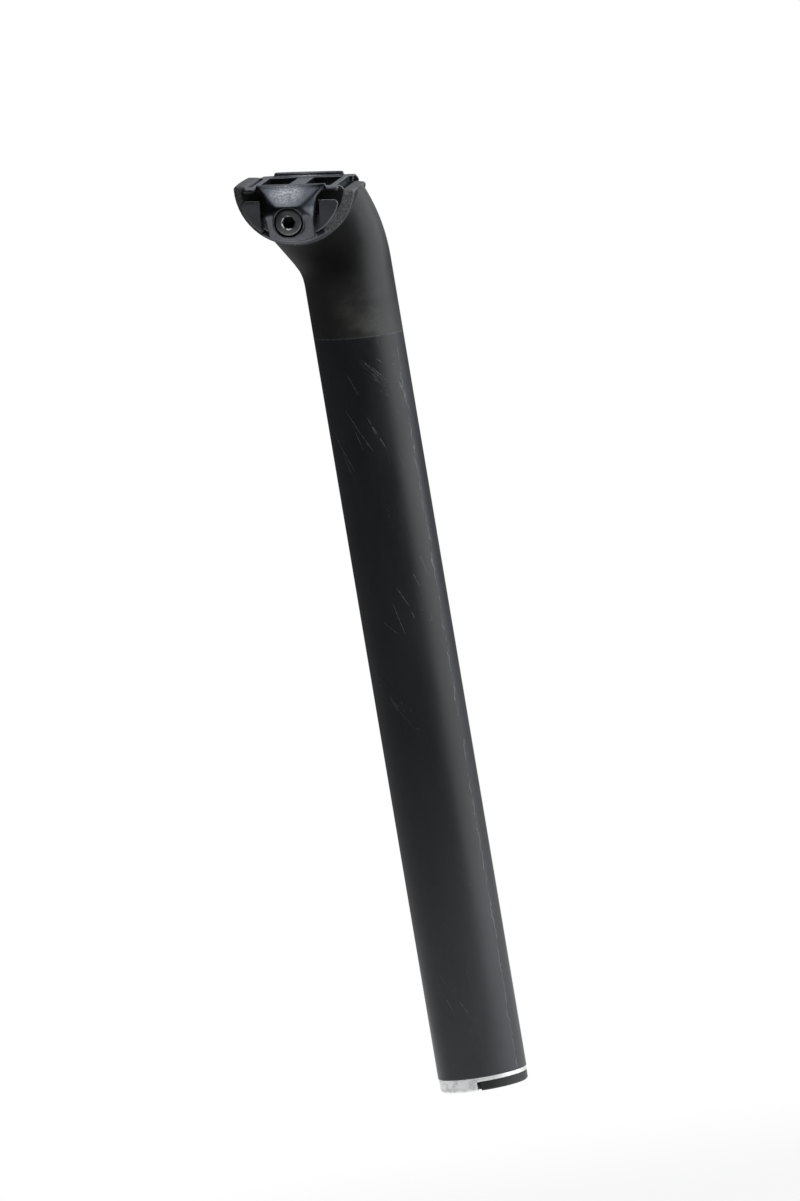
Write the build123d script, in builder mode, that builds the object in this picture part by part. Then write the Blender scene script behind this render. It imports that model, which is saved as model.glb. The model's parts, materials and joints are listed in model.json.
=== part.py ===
from build123d import *
import os
from math import acos, asin, atan2, cos, degrees, hypot, radians, sin, sqrt, tan

os.makedirs("parts", exist_ok=True)

# A setback seatpost with a one-bolt saddle clamp, in millimetres. The origin is on the tube's axis at
# its lower end, where the end ring starts. Z runs up the tube, X points to the front of the bicycle
# and Y to its left.

# Tube
post_diameter = 31.6
post_wall = 2.8
rail_height = 317.0
setback = 12.1

# Neck, the bent stretch between the tube and the cup, its heights taken down from the rails
neck_drop = 31.8
rear_bend_radius = 14.0
front_bend_drop = 25.8
front_bend_radius = 64.0
neck_half_width = 13.8
neck_lead = 9.0
neck_slices = 16

# Cup, the round trough across the top of the neck
trough_radius = 16.8
cup_half_width = 17.0
rim_taper = 25.0
rim_width = 4.6
cup_crown = 0.4
cup_top_slope = 10.5
cup_top_drop = 1.2
cup_bury = 0.6
tip_rounding = 1.2

# Saddle rails, and the tilt of the clamp as it stands
rail_diameter = 7.0
rail_spacing = 44.0
saddle_tilt = 7.0
rail_drop = 5.0

# Cradle
tilt_clearance = 0.2
cradle_wall = 3.8
cradle_floor = 2.0
rib_thickness = 2.0
rib_offset = 14.0
middle_rib = 5.5
bolt_sleeve = 1.7
cradle_rise = 4.5
wing_radius = 18.3
wing_rise = 0.6
wing_lip = 0.9
wing_corner = 1.6
notch_half_width = 10.5
notch_floor = 1.0

# Clamp plates
plate_gap = 1.4
plate_rise = 2.3
plate_top_half = 12.3
plate_top_edge = 0.9
plate_top_wall = 3.6
waist_half = 9.5
waist_drop = 4.4
hook_floor = 0.4
hook_wall = 1.6
jaw_half_length = 16.9
jaw_lip = 1.3
jaw_gap = 0.2
jaw_corner = 1.0
rim_clearance = 0.15
fluke_inner = 18.6
fluke_outer = 20.7
fluke_side = 18.2
fluke_angle = 35.0
stem_radius = 19.4
stem_foot_half = 8.0
stem_foot_side = 23.0
foot_facet_rise = 2.5
boss_radius = 5.6
side_facet_turn = 25.0
side_facet_rise = 26.0

# Clamp screw
bolt_drop = 11.8
bolt_diameter = 6.0
bolt_clearance = 0.4
bolt_chamfer = 0.6
bolt_setback = 0.5
head_diameter = 9.7
head_height = 4.0
head_recess = 0.7
head_gap = 0.5
head_chamfer = 0.4
key_size = 4.0
key_depth = 2.6
washer_thickness = 1.0
nut_size = 10.0
nut_height = 5.0
nut_gap = 0.2
thread_clearance = 0.05

# End ring and plug
ring_height = 4.8
ring_band = 1.6
ring_inset = 0.2
ring_wall = 2.0
ring_depth = 14.0
ring_chamfer = 0.5
bond_gap = 0.05
plug_gap = 0.1
plug_slot = 1.3
plug_wall = 1.6
plug_top = 7.0

# Values that follow from the sizes above
post_radius = post_diameter / 2
bore_radius = post_radius - post_wall
neck_start = rail_height - neck_drop
front_bend_start = rail_height - front_bend_drop
tube_top = neck_start - neck_lead
rim_outer = trough_radius + rim_width
cup_radius = rim_outer + cup_crown
rail_radius = rail_diameter / 2
rail_side = rail_spacing / 2
rail_level = -rail_drop
rail_top = rail_level + rail_radius
cradle_top = rail_level + cradle_rise
wing_top = rail_level + wing_rise
bolt_level = -bolt_drop
bolt_radius = bolt_diameter / 2
bolt_hole = bolt_radius + bolt_clearance / 2
tilt_sin = sin(radians(saddle_tilt))
tilt_cos = cos(radians(saddle_tilt))

# The clamp tilts about a cross axis in the middle of the trough, a little above the rails.
tilt_x = -setback + rail_drop * tilt_sin
tilt_z = rail_height + rail_drop * tilt_cos
tilt_point = Vector(tilt_x, 0, tilt_z)
tilt_axis = Axis(tilt_point, (0, 1, 0))
rail_direction = Vector(tilt_cos, 0, -tilt_sin)
rail_normal = Vector(tilt_sin, 0, tilt_cos)
right = Vector(0, -1, 0)
bolt_axis = Axis(tilt_point + rail_normal * bolt_level, (0, 1, 0))

# side looks at the clamp from the right: x runs along the rails, y up from the tilt axis.
# across cuts through the clamp: x runs to the right, y up from the tilt axis.
# radial holds the profiles that turn about the tilt axis: x runs outward, y to the left.
side = Plane(tilt_point, x_dir=rail_direction, z_dir=right)
across = Plane(tilt_point, x_dir=right, z_dir=-rail_direction)
radial = Plane(tilt_point, x_dir=(0, 0, -1), z_dir=(1, 0, 0))
top_slope = radians(cup_top_slope)
cup_top = Plane(
    tilt_point - Vector(0, 0, cup_top_drop),
    x_dir=(cos(top_slope), 0, -sin(top_slope)),
    z_dir=(sin(top_slope), 0, cos(top_slope)),
)
rim_slope = tan(radians(rim_taper))
rim_outer_side = cup_half_width - rim_width * rim_slope

# The rear of the neck is a hollow bend, then a line that runs on as a tangent of the cup.
buried_radius = cup_radius - cup_bury
bend_to_cup_x = tilt_x + post_radius + rear_bend_radius
bend_to_cup_z = tilt_z - neck_start
bend_to_cup = hypot(bend_to_cup_x, bend_to_cup_z)
rear_lean = asin((rear_bend_radius + buried_radius) / bend_to_cup) - atan2(bend_to_cup_x, bend_to_cup_z)


def rear_of_neck(height):
    """X of the rear of the neck at a height."""
    rise = max(height - neck_start, 0)
    if height > tilt_z - buried_radius * sin(rear_lean):
        return tilt_x - sqrt(buried_radius**2 - (height - tilt_z) ** 2)
    bent = min(rise, rear_bend_radius * sin(rear_lean))
    bend = rear_bend_radius - sqrt(rear_bend_radius**2 - bent**2)
    return -post_radius - bend - (rise - bent) * tan(rear_lean)


def front_of_neck(height):
    """X of the front of the neck at a height, where it bends back gently."""
    rise = max(height - front_bend_start, 0)
    return post_radius - front_bend_radius + sqrt(front_bend_radius**2 - rise**2)


def side_of_neck(height):
    """Half width of the neck at a height, narrowing smoothly up to the foot of the cup."""
    share = min(max(height - neck_start, 0) / (tilt_z - cup_radius - neck_start), 1)
    ease = share * share * (3 - 2 * share)
    return post_radius + (neck_half_width - post_radius) * ease


def polar(radius, angle):
    """A point on the side plane, its angle taken from straight down and positive to the front."""
    return radius * sin(radians(angle)), -radius * cos(radians(angle))


# Post: tube, neck and cup in one piece, hollow up to the neck
with BuildPart() as post:
    with BuildSketch(Plane.XY):
        Circle(post_radius)
    extrude(amount=tube_top)
    for index in range(neck_slices + 1):
        level = tube_top + (tilt_z - tube_top) * index / neck_slices
        rear = rear_of_neck(level)
        front = front_of_neck(level)
        with BuildSketch(Plane(((front + rear) / 2, 0, level))):
            Ellipse((front - rear) / 2, side_of_neck(level))
    loft()
    with BuildSketch(radial):
        with BuildLine():
            Polyline(
                (rim_outer, -rim_outer_side),
                (trough_radius, -cup_half_width),
                (0, -cup_half_width),
                (0, cup_half_width),
                (trough_radius, cup_half_width),
                (rim_outer, rim_outer_side),
            )
            ThreePointArc((rim_outer, rim_outer_side), (cup_radius, 0), (rim_outer, -rim_outer_side))
        make_face()
    revolve(axis=tilt_axis)
    with BuildSketch(cup_top):
        Rectangle(4 * cup_radius, 4 * cup_radius)
    extrude(amount=2 * cup_radius, mode=Mode.SUBTRACT)
    with BuildSketch(side):
        Circle(trough_radius)
    extrude(amount=2 * cup_half_width, both=True, mode=Mode.SUBTRACT)
    tips = faces().filter_by(Axis((0, 0, 0), cup_top.z_dir))
    fillet(tips.edges(), radius=tip_rounding)
    with BuildSketch(Plane.XZ):
        with BuildLine():
            Polyline((0, neck_start + bore_radius), (0, 0), (bore_radius, 0), (bore_radius, neck_start))
            CenterArc((0, neck_start), bore_radius, 0, 90)
        make_face()
    revolve(axis=Axis.Z, mode=Mode.SUBTRACT)
post.part.label = "post"
export_step(post.part, "parts/post.step")

# End ring: a bonded spigot and a flange, its lower lip kept over the rear half
ring_outer = post_radius - ring_inset
spigot_radius = bore_radius - bond_gap
ring_inner = spigot_radius - ring_wall
lower_end = -ring_height
lip_top = -ring_band
with BuildPart() as end_ring:
    with BuildSketch(Plane.XZ):
        with BuildLine():
            Polyline(
                (ring_inner, lower_end),
                (ring_outer - ring_chamfer, lower_end),
                (ring_outer, lower_end + ring_chamfer),
                (ring_outer, 0),
                (spigot_radius, 0),
                (spigot_radius, ring_depth),
                (ring_inner, ring_depth),
                close=True,
            )
        make_face()
    revolve(axis=Axis.Z)
    with BuildSketch(Plane.XY.offset(lower_end)):
        Rectangle(post_diameter, 2 * post_diameter, align=(Align.MIN, Align.CENTER))
    extrude(amount=lip_top - lower_end, mode=Mode.SUBTRACT)
end_ring.part.label = "end_ring"
export_step(end_ring.part, "parts/end_ring.step")

# End plug: a hollow stopper in the ring, with a half flange in the cut-away front of the lip
plug_radius = ring_inner - plug_gap
flange_top = lip_top - plug_gap
with BuildPart() as end_plug:
    with BuildSketch(Plane.XZ):
        with BuildLine():
            Polyline(
                (0, lower_end),
                (ring_outer - ring_chamfer, lower_end),
                (ring_outer, lower_end + ring_chamfer),
                (ring_outer, flange_top),
                (plug_radius, flange_top),
                (plug_radius, plug_top),
                (plug_radius - plug_wall, plug_top),
                (plug_radius - plug_wall, flange_top),
                (0, flange_top),
                close=True,
            )
        make_face()
    revolve(axis=Axis.Z)
    with BuildSketch(Plane.XY.offset(lower_end)):
        with Locations((plug_slot, 0)):
            Rectangle(2 * post_diameter, 2 * post_diameter, align=(Align.MAX, Align.CENTER))
        Circle(plug_radius, mode=Mode.SUBTRACT)
    extrude(amount=flange_top - lower_end, mode=Mode.SUBTRACT)
end_plug.part.label = "end_plug"
export_step(end_plug.part, "parts/end_plug.step")

# Cradle: a pocketed half moon in the trough, with wings that carry the rails outside the cup
cradle_radius = trough_radius - tilt_clearance
pocket_radius = cradle_radius - cradle_floor
wing_inner = cup_half_width + tilt_clearance
wing_outer = rail_side + rail_radius + wing_lip
groove_inner = rail_side - rail_radius
wall_inner = groove_inner - cradle_wall
rib_end = rib_offset + rib_thickness / 2
with BuildPart() as cradle:
    with BuildSketch(side):
        Circle(cradle_radius)
        with Locations((0, cradle_top)):
            Rectangle(
                3 * cradle_radius,
                2 * cradle_radius,
                align=(Align.CENTER, Align.MIN),
                mode=Mode.SUBTRACT,
            )
    extrude(amount=wing_inner)
    for top, depth in ((cradle_top, groove_inner - wing_inner), (wing_top, wing_outer - wing_inner)):
        with BuildSketch(side.offset(wing_inner)):
            Circle(wing_radius)
            with Locations((0, top)):
                Rectangle(
                    3 * wing_radius,
                    2 * wing_radius,
                    align=(Align.CENTER, Align.MIN),
                    mode=Mode.SUBTRACT,
                )
            fillet(vertices(), radius=wing_corner)
        extrude(amount=depth)
    with BuildSketch(side.offset(wing_inner + notch_floor)):
        Rectangle(2 * notch_half_width, 4 * wing_radius)
    extrude(amount=wing_outer, mode=Mode.SUBTRACT)
    with BuildSketch(across):
        with Locations((rail_side, rail_level)):
            Circle(rail_radius)
            Rectangle(rail_diameter, rail_diameter, align=(Align.CENTER, Align.MIN))
    extrude(amount=2 * wing_radius, both=True, mode=Mode.SUBTRACT)
    with BuildSketch(side):
        Circle(pocket_radius)
        Rectangle(middle_rib, 4 * cradle_radius, mode=Mode.SUBTRACT)
        with Locations((0, bolt_level)):
            Circle(bolt_hole + bolt_sleeve, mode=Mode.SUBTRACT)
        with Locations((-rib_offset, 0), (rib_offset, 0)):
            Rectangle(rib_thickness, 4 * cradle_radius, mode=Mode.SUBTRACT)
        with Locations((rib_end, 0)):
            Rectangle(cradle_radius, 4 * cradle_radius, align=(Align.MIN, Align.CENTER))
        with Locations((-rib_end, 0)):
            Rectangle(cradle_radius, 4 * cradle_radius, align=(Align.MAX, Align.CENTER))
    extrude(amount=wall_inner, mode=Mode.SUBTRACT)
    with BuildSketch(side):
        with Locations((0, bolt_level)):
            Circle(bolt_hole)
    extrude(amount=2 * wing_outer, mode=Mode.SUBTRACT)
    mirror(about=Plane.XZ)
cradle.part.label = "cradle"
export_step(cradle.part, "parts/cradle.step")

# Clamp plate, as both sides share it: an anchor with a long jaw over the rail, a foot on the rim of
# the cup, and facets that rise to a boss around the screw
plate_inner = wing_inner + notch_floor + plate_gap
plate_top = rail_top + plate_rise
top_side = plate_inner + plate_top_wall
jaw_inner = groove_inner + jaw_gap
jaw_outer = wing_outer
hook_bottom = rail_level - rail_radius - hook_floor
hook_radius = rail_radius + hook_wall
stem_angle = degrees(asin(stem_foot_half / stem_radius))
rim_reach = 2 * rim_width
rim_gap = rim_clearance / cos(radians(rim_taper))

# The top facet runs from the top edge, past the rail with the hook's wall between, to the boss.
top_from_rail = hypot(top_side - rail_side, plate_top - rail_level)
top_rise = atan2(plate_top - rail_level, top_side - rail_side) - acos(hook_radius / top_from_rail)
boss_face = top_side + (plate_top - bolt_level - boss_radius) * tan(top_rise)
top_facet = Plane(
    tilt_point + right * top_side + rail_normal * plate_top,
    x_dir=rail_direction,
    z_dir=right * cos(top_rise) + rail_normal * sin(top_rise),
)

# The side facets turn away to the front and the rear, and keep the same wall at the waist.
facet_rise = radians(side_facet_rise)
facet_turn = radians(side_facet_turn)
facet_foot = (
    tilt_point
    + right * (rail_side + hook_radius * cos(facet_rise))
    + rail_normal * (rail_level + hook_radius * sin(facet_rise))
)
facet_normal = right * cos(facet_rise) + rail_normal * sin(facet_rise)
side_facets = [
    Plane(
        facet_foot + rail_direction * (end * waist_half),
        z_dir=facet_normal * cos(facet_turn) + rail_direction * (end * sin(facet_turn)),
    )
    for end in (1, -1)
]

# The lower face leans in to the foot from a little above the screw's axis.
foot_facet_top = bolt_level + foot_facet_rise
foot_lean = atan2(boss_face - stem_foot_side, stem_radius + foot_facet_top)
foot_facet = Plane(
    tilt_point + right * boss_face + rail_normal * foot_facet_top,
    x_dir=rail_direction,
    z_dir=right * cos(foot_lean) - rail_normal * sin(foot_lean),
)
jaw_base = Plane(tilt_point + rail_normal * (cradle_top - jaw_lip), x_dir=rail_direction, z_dir=rail_normal)


def rim_sector(outer, angle):
    """Outline on the side plane of a piece of the foot, which follows the rim of the cup."""
    with BuildLine() as outline:
        Line(polar(fluke_inner, angle), polar(outer, angle))
        ThreePointArc(polar(outer, angle), polar(outer, 0), polar(outer, -angle))
        Line(polar(outer, -angle), polar(fluke_inner, -angle))
        ThreePointArc(polar(fluke_inner, -angle), polar(fluke_inner, 0), polar(fluke_inner, angle))
    return outline.line


with BuildPart() as plate:
    with BuildSketch(side.offset(plate_inner)):
        with BuildLine():
            front_edge = Polyline(
                (0, plate_top),
                (plate_top_half, plate_top),
                (plate_top_half, plate_top - plate_top_edge),
                (waist_half, plate_top - waist_drop),
                polar(stem_radius, stem_angle),
            )
            ThreePointArc(
                polar(stem_radius, stem_angle),
                polar(stem_radius, 0),
                polar(stem_radius, -stem_angle),
            )
            mirror(front_edge, about=Plane.YZ)
        make_face()
    extrude(amount=boss_face - plate_inner)
    for facet in (top_facet, foot_facet, *side_facets):
        with BuildSketch(facet):
            Rectangle(8 * plate_top_half, 8 * plate_top_half)
        extrude(amount=boss_face, mode=Mode.SUBTRACT)
    with BuildSketch(side.offset(plate_inner)):
        with Locations((0, bolt_level)):
            Circle(boss_radius)
    extrude(amount=boss_face - plate_inner)
    with BuildSketch(jaw_base):
        with Locations((0, -jaw_inner)):
            Rectangle(2 * jaw_half_length, jaw_outer - jaw_inner, align=(Align.CENTER, Align.MAX))
        fillet(vertices().group_by(Axis.Y)[0], radius=jaw_corner)
        with Locations((0, -top_side)):
            Rectangle(2 * plate_top_half, jaw_outer, align=(Align.CENTER, Align.MAX), mode=Mode.SUBTRACT)
    extrude(amount=jaw_lip)
    with BuildSketch(side.offset(rim_outer_side)):
        add(rim_sector(fluke_outer, fluke_angle))
        make_face()
    extrude(amount=fluke_side - rim_outer_side)
    with BuildSketch(side.offset(rim_outer_side)):
        add(rim_sector(stem_radius, stem_angle))
        make_face()
    extrude(amount=plate_inner - rim_outer_side)
    with BuildSketch(radial):
        with BuildLine():
            Polyline(
                (0, 0),
                (0, -cup_half_width - rim_gap),
                (trough_radius, -cup_half_width - rim_gap),
                (trough_radius + rim_reach, rim_reach * rim_slope - cup_half_width - rim_gap),
                (trough_radius + rim_reach, 0),
                close=True,
            )
        make_face()
    revolve(axis=tilt_axis, mode=Mode.SUBTRACT)
    with BuildSketch(across):
        with Locations((rail_side, hook_bottom)):
            Rectangle(rail_side, rail_top - hook_bottom, align=(Align.MAX, Align.MIN))
            Rectangle(rail_radius, rail_level - hook_bottom, align=(Align.MIN, Align.MIN))
        with Locations((rail_side, rail_level)):
            Circle(rail_radius)
    extrude(amount=2 * jaw_half_length, both=True, mode=Mode.SUBTRACT)
    with BuildSketch(side):
        with Locations((0, bolt_level)):
            Circle(bolt_hole)
    extrude(amount=2 * boss_face, mode=Mode.SUBTRACT)

# Right plate, with a counterbore for the screw head and its washer
head_face = boss_face - head_recess
head_seat = head_face - head_height
with BuildPart() as clamp_plate_right:
    add(plate.part)
    with BuildSketch(side.offset(head_seat - washer_thickness)):
        with Locations((0, bolt_level)):
            Circle((head_diameter + head_gap) / 2)
    extrude(amount=2 * head_height, mode=Mode.SUBTRACT)
clamp_plate_right.part.label = "clamp_plate_right"
export_step(clamp_plate_right.part, "parts/clamp_plate_right.step")

# Left plate, the mirror image, with a hexagon pocket that keeps the nut from turning
with BuildPart() as clamp_plate_left:
    add(plate.part)
    mirror(about=Plane.XZ, mode=Mode.REPLACE)
    with BuildSketch(side.offset(nut_height - head_face)):
        with Locations((0, bolt_level)):
            RegularPolygon((nut_size + nut_gap) / 2, 6, major_radius=False)
    extrude(amount=-2 * nut_height, mode=Mode.SUBTRACT)
clamp_plate_left.part.label = "clamp_plate_left"
export_step(clamp_plate_left.part, "parts/clamp_plate_left.step")

# Clamp screw, with a low head and a hexagon socket
bolt_end = bolt_setback - head_face
head_radius = head_diameter / 2
with BuildPart() as clamp_bolt:
    with BuildSketch(across):
        with BuildLine():
            Polyline(
                (head_face, bolt_level),
                (head_face, bolt_level + head_radius - head_chamfer),
                (head_face - head_chamfer, bolt_level + head_radius),
                (head_seat, bolt_level + head_radius),
                (head_seat, bolt_level + bolt_radius),
                (bolt_end + bolt_chamfer, bolt_level + bolt_radius),
                (bolt_end, bolt_level + bolt_radius - bolt_chamfer),
                (bolt_end, bolt_level),
                close=True,
            )
        make_face()
    revolve(axis=bolt_axis)
    with BuildSketch(side.offset(head_face)):
        with Locations((0, bolt_level)):
            RegularPolygon(key_size / 2, 6, major_radius=False)
    extrude(amount=-key_depth, mode=Mode.SUBTRACT)
clamp_bolt.part.label = "clamp_bolt"
export_step(clamp_bolt.part, "parts/clamp_bolt.step")

# Washer under the screw head
with BuildPart() as bolt_washer:
    with BuildSketch(side.offset(head_seat - washer_thickness)):
        with Locations((0, bolt_level)):
            Circle(head_diameter / 2)
            Circle(bolt_hole, mode=Mode.SUBTRACT)
    extrude(amount=washer_thickness)
bolt_washer.part.label = "bolt_washer"
export_step(bolt_washer.part, "parts/bolt_washer.step")

# Hexagon nut in the left plate
with BuildPart() as clamp_nut:
    with BuildSketch(side.offset(-head_face)):
        with Locations((0, bolt_level)):
            RegularPolygon(nut_size / 2, 6, major_radius=False)
            Circle(bolt_radius + thread_clearance, mode=Mode.SUBTRACT)
    extrude(amount=nut_height)
clamp_nut.part.label = "clamp_nut"
export_step(clamp_nut.part, "parts/clamp_nut.step")
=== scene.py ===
"""Dresses a setback bicycle seatpost and its saddle clamp for a studio picture."""

import json
import logging
import math
from collections.abc import Callable
from dataclasses import dataclass, field
from enum import Enum

import bmesh
import bpy
import numpy as np
from mathutils import Matrix, Vector


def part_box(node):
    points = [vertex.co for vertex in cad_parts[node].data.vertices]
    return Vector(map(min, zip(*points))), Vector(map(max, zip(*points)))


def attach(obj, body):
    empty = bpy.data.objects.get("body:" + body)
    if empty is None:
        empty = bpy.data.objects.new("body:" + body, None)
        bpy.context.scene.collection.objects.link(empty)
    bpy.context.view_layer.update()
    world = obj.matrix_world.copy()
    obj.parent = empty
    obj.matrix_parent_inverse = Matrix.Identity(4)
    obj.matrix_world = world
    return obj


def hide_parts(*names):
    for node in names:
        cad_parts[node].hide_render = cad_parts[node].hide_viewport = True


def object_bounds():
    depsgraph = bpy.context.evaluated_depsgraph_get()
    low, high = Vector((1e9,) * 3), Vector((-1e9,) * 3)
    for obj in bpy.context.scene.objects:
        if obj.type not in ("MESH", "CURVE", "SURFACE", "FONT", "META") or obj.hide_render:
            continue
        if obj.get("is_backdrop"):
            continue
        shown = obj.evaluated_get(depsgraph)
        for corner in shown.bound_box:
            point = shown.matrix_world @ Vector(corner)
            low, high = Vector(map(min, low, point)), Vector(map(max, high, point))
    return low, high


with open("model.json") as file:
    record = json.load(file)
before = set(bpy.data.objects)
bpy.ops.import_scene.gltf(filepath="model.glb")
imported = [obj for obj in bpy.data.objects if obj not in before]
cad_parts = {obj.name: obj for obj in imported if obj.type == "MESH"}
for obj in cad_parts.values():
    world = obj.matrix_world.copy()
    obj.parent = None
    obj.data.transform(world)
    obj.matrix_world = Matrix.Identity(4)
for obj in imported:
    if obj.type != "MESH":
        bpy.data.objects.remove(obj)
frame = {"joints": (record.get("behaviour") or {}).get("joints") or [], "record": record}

Array = np.ndarray
Mesh = bpy.types.Mesh
Colour = tuple[float, float, float]
Node = bpy.types.Node
Socket = bpy.types.NodeSocket
Outputs = bpy.types.NodeOutputs
Wires = dict[str, Socket]
Value = float | Socket
Pair = tuple[float, float]
Rows = tuple[tuple[float, ...], ...]
Shape = Callable[[Array], Array]
MM = 0.001
CAMERA_AZIMUTH = 9.5
WHITE: Colour = (1.0, 1.0, 1.0)
log = logging.getLogger("seatpost")


class Step(Enum):
    """The sums that a Math node is used for."""

    ADD = "ADD"
    TAKE = "SUBTRACT"
    TIMES = "MULTIPLY"
    OVER = "DIVIDE"
    SIZE = "ABSOLUTE"
    MOST = "MAXIMUM"
    BELOW = "LESS_THAN"
    ANGLE = "ARCTAN2"
    ROOT = "SQRT"


@dataclass
class Bench:
    """Adds nodes to one tree, so that a formula reads in the order in which it is worked out."""

    tree: bpy.types.NodeTree

    def feed(self, socket: Socket, value: object) -> None:
        """Links a socket to another, or sets its own value.

        Args:
            socket: The input to feed.
            value: An output socket, or a plain value.
        """
        if isinstance(value, Socket):
            self.tree.links.new(value, socket)
        else:
            socket.default_value = value

    def fill(self, node: Node, *values: object, **named: object) -> Outputs:
        """Sets a node up.

        Args:
            node: The node.
            values: What goes to its first inputs, in their order.
            named: The node's own properties, in lower case, and what goes to inputs by name, with _ for a space.

        Returns:
            The node's outputs.
        """
        for name, value in named.items():
            if name.islower():
                setattr(node, name, value)
            else:
                self.feed(node.inputs[name.replace("_", " ")], value)
        for socket, value in zip(node.inputs, values):
            self.feed(socket, value)
        return node.outputs

    def add(self, kind: str, *values: object, **named: object) -> Outputs:
        """Adds a node, named without Blender's ShaderNode, sets it up and gives its outputs."""
        return self.fill(self.tree.nodes.new("ShaderNode" + kind), *values, **named)

    def sum(self, step: Step, *values: Value, clamp: bool = False) -> Socket:
        """Puts values through a Math node, whose result can be held between 0 and 1."""
        return self.add("Math", *values, operation=step.value, use_clamp=clamp)[0]

    def plus(self, first: Value, second: Value) -> Socket:
        """Adds two values."""
        return self.sum(Step.ADD, first, second)

    def less(self, first: Value, second: Value, clamp: bool = False) -> Socket:
        """Takes the second value from the first."""
        return self.sum(Step.TAKE, first, second, clamp=clamp)

    def times(self, first: Value, second: Value) -> Socket:
        """Multiplies two values."""
        return self.sum(Step.TIMES, first, second)

    def most(self, first: Value, second: Value) -> Socket:
        """Keeps the greater of two values."""
        return self.sum(Step.MOST, first, second)

    def length(self, first: Value, second: Value) -> Socket:
        """Gives the root of the sum of two squares."""
        return self.sum(Step.ROOT, self.plus(self.times(first, first), self.times(second, second)))

    def vector(self, kind: str, *values: object, **named: object) -> Outputs:
        """Puts vectors through a Vector Math node and gives its outputs."""
        return self.add("VectorMath", *values, operation=kind, **named)

    def ramp(self, value: Value, low: float, high: float, to_low: float = 0.0, to_high: float = 1.0) -> Socket:
        """Maps a value from one range to another with a smooth start and end."""
        return self.add("MapRange", value, low, high, to_low, to_high, interpolation_type="SMOOTHSTEP")[0]

    def noise(
        self, point: Socket, scale: Value, detail: float = 2.0, roughness: float = 0.5, distortion: float = 0.0
    ) -> Socket:
        """Reads a noise texture, with so many lumps per metre and about 0.5 on average, at a point."""
        finer = {"Detail": detail, "Roughness": roughness, "Distortion": distortion}
        return self.add("TexNoise", Vector=point, Scale=scale, **finer)[0]

    def stretch(self, point: Socket, scale: Colour, turn: Colour = (0.0, 0.0, 0.0)) -> Socket:
        """Turns a point back by degrees about the axes and then stretches it, for patterns with a direction."""
        change = {"Rotation": [math.radians(a) for a in turn], "Scale": [1.0 / part for part in scale]}
        return self.add("Mapping", vector_type="TEXTURE", Vector=point, **change)[0]

    def axes(self, point: Socket) -> tuple[Socket, ...]:
        """Takes a point apart into x, y and z."""
        return tuple(self.add("SeparateXYZ", point))

    def point(self, x: Value, y: Value, z: Value) -> Socket:
        """Puts a point together from x, y and z."""
        return self.add("CombineXYZ", x, y, z)[0]

    def tint(self, mask: Value, under: Colour | Socket, over: Colour | Socket) -> Socket:
        """Mixes two colours by a mask: 0 for the first, 1 for the second."""
        first, second = (part if isinstance(part, Socket) else (*part, 1.0) for part in (under, over))
        return self.add("Mix", data_type="RGBA", Factor=mask, A=first, B=second)[2]

    def blend(self, mask: Value, under: Value, over: Value) -> Socket:
        """Mixes two values by a mask: 0 for the first, 1 for the second."""
        return self.add("Mix", Factor=mask, A=under, B=over)[0]

    def bump(self, height: Socket, depth: float, under: Socket | None = None) -> Socket:
        """Turns a relief from 0 to 1, so many metres deep, into a normal that lies on the one under it, if any."""
        normal = {} if under is None else {"Normal": under}
        return self.add("Bump", Distance=depth, Height=height, **normal)[0]

    def soft(self, radius: Value, samples: int = 8) -> Socket:
        """Gives the surface's normal, rounded over near edges."""
        return self.add("Bevel", samples=samples, Radius=radius)[0]

    def place(self, effect: "type[Effect]", **values: object) -> Wires:
        """Places an effect's node group, feeds its inputs by name and gives its outputs by name."""
        return {socket.name: socket for socket in self.add("Group", node_tree=effect.group(), **values)}

    def glow(self, mask: Socket, under: Socket) -> None:
        """Lays white light over another shader, by a mask, as the material's surface."""
        mix = self.add("MixShader", mask, under, self.add("Emission")[0])[0]
        self.feed(self.tree.nodes["Material Output"].inputs["Surface"], mix)


class Effect:
    """Base of the shared effects: a node group that is built once."""

    NAME = ""
    INPUTS: dict[str, str] = {}
    OUTPUTS = {"Mask": "Float"}

    @classmethod
    def group(cls) -> bpy.types.NodeTree:
        """Builds the group on first use.

        Returns:
            The node group.
        """
        known = bpy.data.node_groups.get(cls.NAME)
        if known:
            return known
        tree = bpy.data.node_groups.new(cls.NAME, "ShaderNodeTree")
        for way, sockets in (("INPUT", cls.INPUTS), ("OUTPUT", cls.OUTPUTS)):
            for name, kind in sockets.items():
                tree.interface.new_socket(name, in_out=way, socket_type="NodeSocket" + kind)
        bench = Bench(tree)
        inputs = tree.nodes.new("NodeGroupInput").outputs
        outputs = tree.nodes.new("NodeGroupOutput").inputs
        for name, socket in cls().wire(bench, inputs).items():
            tree.links.new(socket, outputs[name])
        return tree

    def wire(self, bench: Bench, inputs: Outputs) -> Wires:
        """Wires the group up.

        Args:
            bench: Adds the group's nodes.
            inputs: The group's inputs.

        Returns:
            What goes to each named output.
        """
        raise NotImplementedError


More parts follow.
